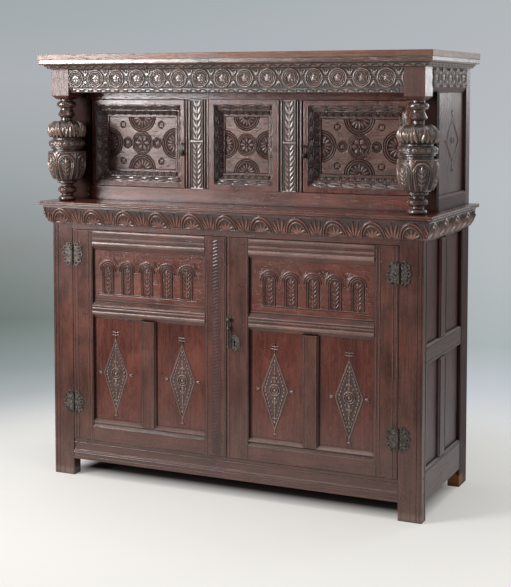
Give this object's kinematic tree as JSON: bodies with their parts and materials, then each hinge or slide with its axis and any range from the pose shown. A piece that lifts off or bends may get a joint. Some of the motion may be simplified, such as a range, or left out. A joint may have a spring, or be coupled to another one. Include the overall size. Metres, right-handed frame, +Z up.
{
  "type": "court cupboard",
  "caption": "Joined oak court cupboard with panelled lower doors and a recessed upper cupboard behind turned cup-and-cover columns.",
  "frame": {"origin": "on the floor under the middle of the whole outline", "axes": "+Z up, the doors face -Y, +X to the right as one faces the doors"},
  "size_m": [1.58, 0.605, 1.638],
  "materials": {
    "oak_dark": "waxed dark red-brown oak, worn lighter on edges",
    "oak_inside": "dull unpolished oak of the inside and back",
    "iron": "blackened wrought iron"
  },
  "bodies": {
    "cabinet": {"front_leg_left": "oak_dark", "front_leg_right": "oak_dark", "back_leg_left": "oak_dark", "back_leg_right": "oak_dark", "lower_top_rail": "oak_dark", "lower_bottom_rail": "oak_dark", "lower_side_rails_left": "oak_dark", "lower_side_rails_right": "oak_dark", "lower_side_muntins": "oak_dark", "lower_side_panels": "oak_dark", "lower_back_rails": "oak_inside", "lower_back_boards": "oak_inside", "lower_floor_boards": "oak_inside", "lower_shelf": "oak_inside", "ledge_board": "oak_dark", "ledge_mouldings": "oak_dark", "cornice_board": "oak_dark", "cornice_mouldings": "oak_dark", "lower_hinge_post_leaves": "iron", "lower_hinge_pins": "iron", "columns": "oak_dark", "front_frieze": "oak_dark", "side_friezes": "oak_dark", "upper_back_posts": "oak_inside", "upper_front_stile_left": "oak_dark", "upper_front_stile_right": "oak_dark", "upper_side_rails": "oak_dark", "upper_side_panels": "oak_dark", "upper_back_boards": "oak_inside", "upper_front_rails": "oak_dark", "pilasters": "oak_dark", "middle_frame": "oak_dark", "middle_panel": "oak_dark"},
    "lower_door_left": {"lower_door_left_stiles": "oak_dark", "lower_door_left_rails": "oak_dark", "lower_door_left_muntin": "oak_dark", "lower_door_left_arcade_panel": "oak_dark", "lower_door_left_panels": "oak_dark", "lower_door_left_hinge_leaves": "iron", "lock_keeper": "iron"},
    "upper_door_left": {"upper_door_left_frame": "oak_dark", "upper_door_left_panel": "oak_dark", "upper_door_left_staple": "iron"},
    "upper_pull_left": {"upper_door_left_pull": "iron"},
    "lower_door_right": {"lower_door_right_stiles": "oak_dark", "lower_door_right_rails": "oak_dark", "lower_door_right_muntin": "oak_dark", "lower_door_right_arcade_panel": "oak_dark", "lower_door_right_panels": "oak_dark", "lower_door_right_hinge_leaves": "iron", "lock_escutcheon": "iron", "lock_case": "iron", "drop_handle_plate": "iron"},
    "upper_door_right": {"upper_door_right_frame": "oak_dark", "upper_door_right_panel": "oak_dark", "upper_door_right_staple": "iron"},
    "upper_pull_right": {"upper_door_right_pull": "iron"},
    "lock_bolt": {"lock_bolt": "iron"},
    "drop_handle": {"drop_handle": "iron"}
  },
  "joints": [
    {"name": "lower_door_left_hinge", "type": "hinge", "parent": "cabinet", "child": "lower_door_left", "pos_m": [-0.662, -0.2673, 0.58], "axis": [0, 0, -1], "range_deg": [0, 165]},
    {"name": "upper_door_left_hinge", "type": "hinge", "parent": "cabinet", "child": "upper_door_left", "pos_m": [-0.65, -0.1145, 1.296], "axis": [0, 0, -1], "range_deg": [0, 75]},
    {"name": "upper_pull_left_swing", "type": "hinge", "parent": "upper_door_left", "child": "upper_pull_left", "pos_m": [-0.251, -0.132, 1.297], "axis": [-1, 0, 0], "range_deg": [0, 100]},
    {"name": "lower_door_right_hinge", "type": "hinge", "parent": "cabinet", "child": "lower_door_right", "pos_m": [0.662, -0.2673, 0.58], "axis": [0, 0, 1], "range_deg": [0, 165]},
    {"name": "upper_door_right_hinge", "type": "hinge", "parent": "cabinet", "child": "upper_door_right", "pos_m": [0.65, -0.1145, 1.296], "axis": [0, 0, 1], "range_deg": [0, 75]},
    {"name": "upper_pull_right_swing", "type": "hinge", "parent": "upper_door_right", "child": "upper_pull_right", "pos_m": [0.251, -0.132, 1.297], "axis": [-1, 0, 0], "range_deg": [0, 100]},
    {"name": "lock_bolt_slide", "type": "slide", "parent": "lower_door_right", "child": "lock_bolt", "axis": [-1, 0, 0], "range_m": [0, 0.018]},
    {"name": "drop_handle_swing", "type": "hinge", "parent": "lower_door_right", "child": "drop_handle", "pos_m": [0.012, -0.2735, 0.664], "axis": [-1, 0, 0], "range_deg": [0, 100]}
  ]
}
